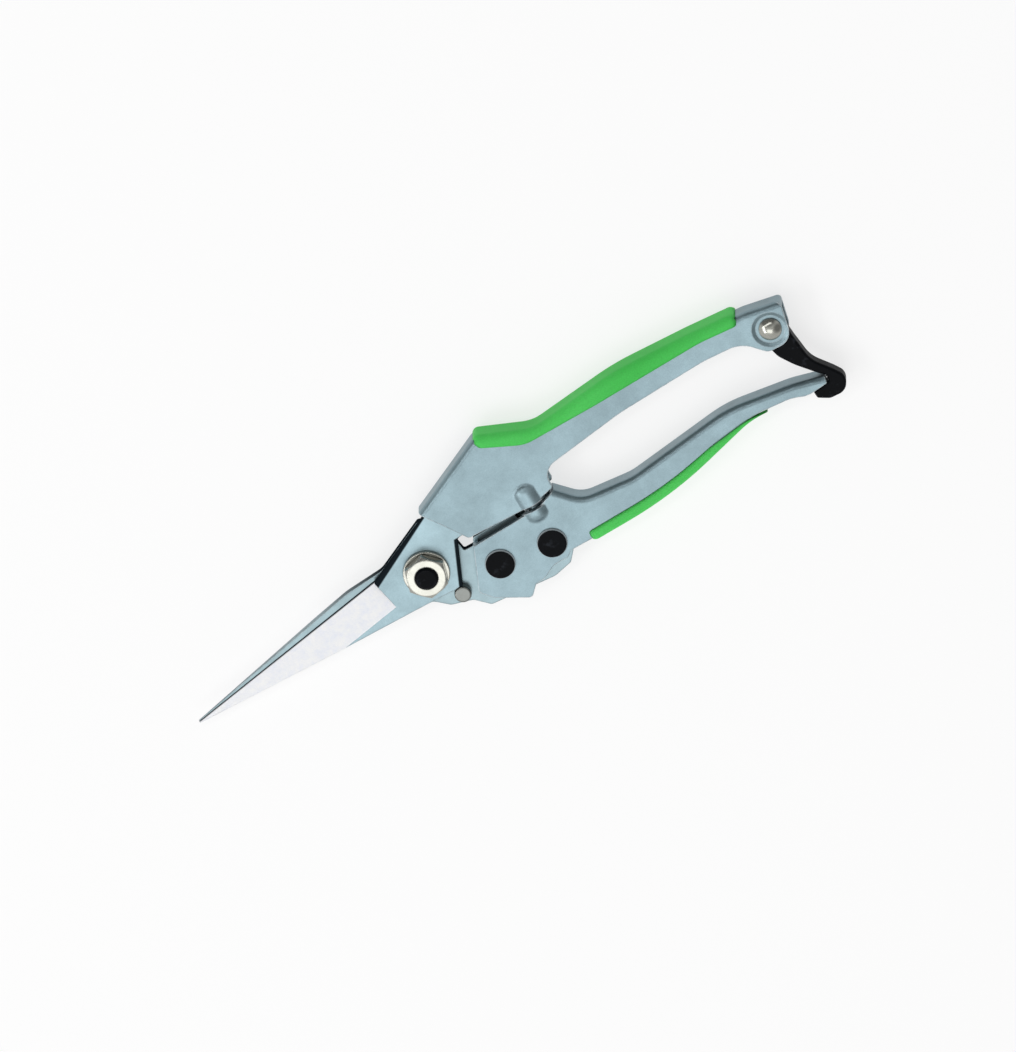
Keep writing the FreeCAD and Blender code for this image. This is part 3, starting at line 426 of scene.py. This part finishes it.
def black_metal(name):
    """Oil-blackened steel, with a faint bluish sheen and paler smudges and edges."""
    metal = Metal(name, BLACK_STEEL, BLACK_RUBBED_HIGHLIGHT, metallic=0.0, roughness=0.42, grain=0.5, rub_and_highlight=0.8)
    metal.shader.inputs["Specular IOR Level"].default_value = 0.05
    smudge = spread(metal.tree, noise(metal.tree, 560, 4, 0.65), 0.0, 0.6, 0.56, 0.70)
    metal.colour_over(smudge, BLACK_SMUDGE)
    return metal


def rivet_material():
    """Blackened steel, with a painted highlight round the rims of the heads."""
    metal = black_metal("black_rivet_steel")
    facing = math_node(metal.tree, "ABSOLUTE", true_normal(metal.tree)[2])
    # painted highlight on the rounded rims of the heads
    metal.colour_over(spread(metal.tree, facing, 0.9, 0.0, 0.55, 0.85), RIVET_RIM_HIGHLIGHT)
    return metal.material


def grip_material():
    """Soft moulded plastic: a satin skin with faint flow marks, a fine texture and painted shade
    in crevices.
    """
    material, tree, shader = node_material("green_grip")
    flow = spread(tree, noise(tree, 60, 3, 0.5, (3, 1, 1)), 0.0, 1.0, 0.3, 0.7)
    skin = noise(tree, 2600, 3)
    tone = mix_colour(tree, flow, GREEN_DEEP, GREEN_LIGHT)
    speckle = spread(tree, skin, 0.93, 1.07, 0.3, 0.7)
    # painted shade: the green darkens into corners and gaps, such as along the grips' edges at the
    # cheeks
    shade = math_node(tree, "MULTIPLY", speckle, spread(tree, crevice(tree, 1.0 * MM), 0.35, 1.0))
    tree.links.new(scaled(tree, tone, shade), shader.inputs["Base Color"])
    tree.links.new(spread(tree, skin, 0.36, 0.52, 0.3, 0.7), shader.inputs["Roughness"])
    shader.inputs["Specular IOR Level"].default_value = 0.06
    shader.inputs["Subsurface Weight"].default_value = 0.25
    shader.inputs["Subsurface Radius"].default_value = (0.5, 1.0, 0.5)
    shader.inputs["Subsurface Scale"].default_value = 1.5 * MM
    relief(tree, shader, skin, 0.14, 0.04 * MM, rounded_normal(tree, 1.5 * MM))
    return material


def dress(material, *names):
    """Gives CAD nodes a material."""
    for name in names:
        mesh = NODES[name].data
        mesh.materials.clear()
        mesh.materials.append(material)


# ---------------------------------------------------------------- spring


WIRE_DIA = 0.8 * MM
WIRE_FLAT = 0.55                     # thickness along the coil, as a share of WIRE_DIA
CLOSED_PITCH = 1.02                  # rise of an end turn, as a share of the wire's thickness
COIL_TURNS = 6
STEPS_PER_TURN = 40
WIRE_SIDES = 14


def coil_path(low, high, radius):
    """Points of a compression coil about the Y axis: a closed turn at each end."""
    closed = WIRE_DIA * WIRE_FLAT * CLOSED_PITCH
    open_pitch = (high - low - 2 * closed) / (COIL_TURNS - 2)
    points = []
    for i in range(COIL_TURNS * STEPS_PER_TURN + 1):
        turn = i / STEPS_PER_TURN
        rise = min(turn, 1) * closed
        rise += min(max(turn - 1, 0), COIL_TURNS - 2) * open_pitch
        rise += max(turn - (COIL_TURNS - 1), 0) * closed
        angle = 2 * math.pi * turn
        points.append(Vector((radius * math.cos(angle), low + rise, radius * math.sin(angle))))
    return points


def wire_ring(point, ahead):
    """Corners of the wire's oval section at a point of the coil."""
    outward = Vector((point.x, 0, point.z)).normalized()
    across = ahead.cross(outward).normalized()
    corners = []
    for k in range(WIRE_SIDES):
        turn = 2 * math.pi * k / WIRE_SIDES
        offset = outward * math.cos(turn) + across * math.sin(turn) * WIRE_FLAT
        corners.append(point + offset * (WIRE_DIA / 2))
    return corners


def coil_mesh(points, axis_place):
    """The wire as one closed tube along the points, moved to the coil's axis."""
    mesh = bmesh.new()
    rings = []
    for i, point in enumerate(points):
        ahead = (points[min(i + 1, len(points) - 1)] - points[max(i - 1, 0)]).normalized()
        rings.append([mesh.verts.new(corner + axis_place) for corner in wire_ring(point, ahead)])
    for one, other in zip(rings, rings[1:]):
        for k in range(WIRE_SIDES):
            face = mesh.faces.new((one[k], one[k - 1], other[k - 1], other[k]))
            face.smooth = True
    mesh.faces.new(rings[0])
    mesh.faces.new(reversed(rings[-1]))
    bmesh.ops.recalc_face_normals(mesh, faces=mesh.faces)
    data = bpy.data.meshes.new("handle_coil")
    mesh.to_mesh(data)
    mesh.free()
    return data


def make_spring(material):
    """The handle spring as wire, a little flat along the coil."""
    low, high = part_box("handle_spring")
    centre = (low + high) / 2
    radius = (high.x - low.x - WIRE_DIA) / 2
    end_gap = WIRE_DIA * WIRE_FLAT / 2
    points = coil_path(low.y + end_gap, high.y - end_gap, radius)
    data = coil_mesh(points, Vector((centre.x, 0, centre.z)))
    data.materials.append(material)
    coil = add("handle_coil", data)
    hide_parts("handle_spring")
    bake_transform(coil)


def dress_snips():
    """Every CAD node's own material, and the coil that stands for the handle spring."""
    plate = Metal("plated_steel", PLATE, PLATE_RUBBED_HIGHLIGHT, 0.9, 0.38, grain=0.12, rub_and_highlight=0.85, crevice_shade=0.72)
    dress(plate.material, "upper_handle", "lower_handle", "rivet_spacers", "tang_pins")
    dress(plate.material, "tang_spacers", "upper_spring_seat", "lower_spring_seat", "catch_bush")
    front = blade_material("front_blade_steel", FRONT_STEEL, 1, FRONT_SHADE_BANDS, CUTTING_EDGE)
    dress(front, "front_blade")
    dress(blade_material("rear_blade_steel", REAR_STEEL_SHADED, -1), "rear_blade")
    nickel = Metal("nickel_plate", NICKEL, NICKEL_RUBBED_HIGHLIGHT, 1.0, 0.16, grain=0.05, rub_and_highlight=0.6, crevice_shade=0.12)
    dress(nickel.material, "pivot_nut", "nut_washer", "head_washer", "catch_rivet")
    dress(Metal("pin_steel", PIN_STEEL, PIN_RUBBED_HIGHLIGHT, 1.0, 0.32).material, "stop_pin")
    dress(black_metal("black_steel").material, "pivot_bolt", "catch")
    dress(rivet_material(), "lower_rivets")
    dress(grip_material(), "upper_grip", "lower_grip")
    wire_steel = Metal("spring_wire", WIRE, WIRE_RUBBED_HIGHLIGHT, 1.0, 0.25, grain=0.12).material
    dress(wire_steel, "handle_spring")
    make_spring(wire_steel)


make_camera()
make_table()
make_lights()
dress_snips()
